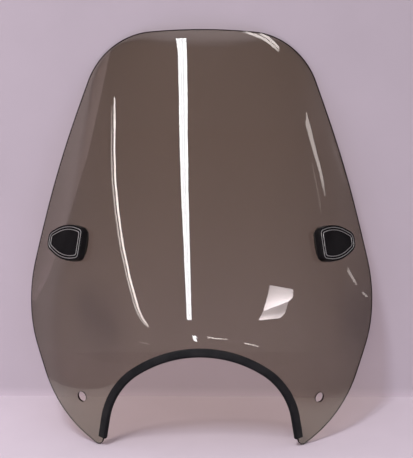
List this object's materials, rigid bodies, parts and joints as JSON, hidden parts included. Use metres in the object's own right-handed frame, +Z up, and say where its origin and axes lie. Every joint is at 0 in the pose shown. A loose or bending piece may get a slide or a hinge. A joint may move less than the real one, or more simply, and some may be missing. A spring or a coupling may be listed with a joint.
{
  "type": "motorcycle windshield screen",
  "caption": "Smoked curved motorcycle windshield with a rubber-edged headlight arch, lower fork holes and black side mount covers.",
  "frame": {"origin": "middle of the bounding box from side to side and from front to back, at the height of the two tips", "axes": "+Z up, -Y towards the front (the convex face), +X to the right as seen from the front; the screen leans back"},
  "size_m": [0.4484, 0.2003, 0.5113],
  "materials": {
    "tinted_sheet": "polished smoke-grey polycarbonate, see-through",
    "trim_rubber": "satin black extruded rubber",
    "cover_plastic": "satin black moulded plastic",
    "pinline_foil": "satin silver line",
    "gasket_rubber": "matt black sheet rubber",
    "receiver_nylon": "matt black glass-filled nylon",
    "grommet_rubber": "matt black soft rubber",
    "screw_steel": "zinc-plated steel",
    "washer_steel": "stainless steel",
    "insert_brass": "machined brass"
  },
  "bodies": {
    "root": {"screen": "tinted_sheet", "headlight_trim": "trim_rubber", "left_mount_cover": "cover_plastic", "left_outer_pinline": "pinline_foil", "left_inner_pinline": "pinline_foil", "left_front_gasket": "gasket_rubber", "left_rear_gasket": "gasket_rubber", "left_receiver": "receiver_nylon", "left_post_grommet": "grommet_rubber", "left_screws": "screw_steel", "left_washers": "washer_steel", "left_threaded_inserts": "insert_brass", "right_mount_cover": "cover_plastic", "right_outer_pinline": "pinline_foil", "right_inner_pinline": "pinline_foil", "right_front_gasket": "gasket_rubber", "right_rear_gasket": "gasket_rubber", "right_receiver": "receiver_nylon", "right_post_grommet": "grommet_rubber", "right_screws": "screw_steel", "right_washers": "washer_steel", "right_threaded_inserts": "insert_brass"}
  },
  "joints": []
}
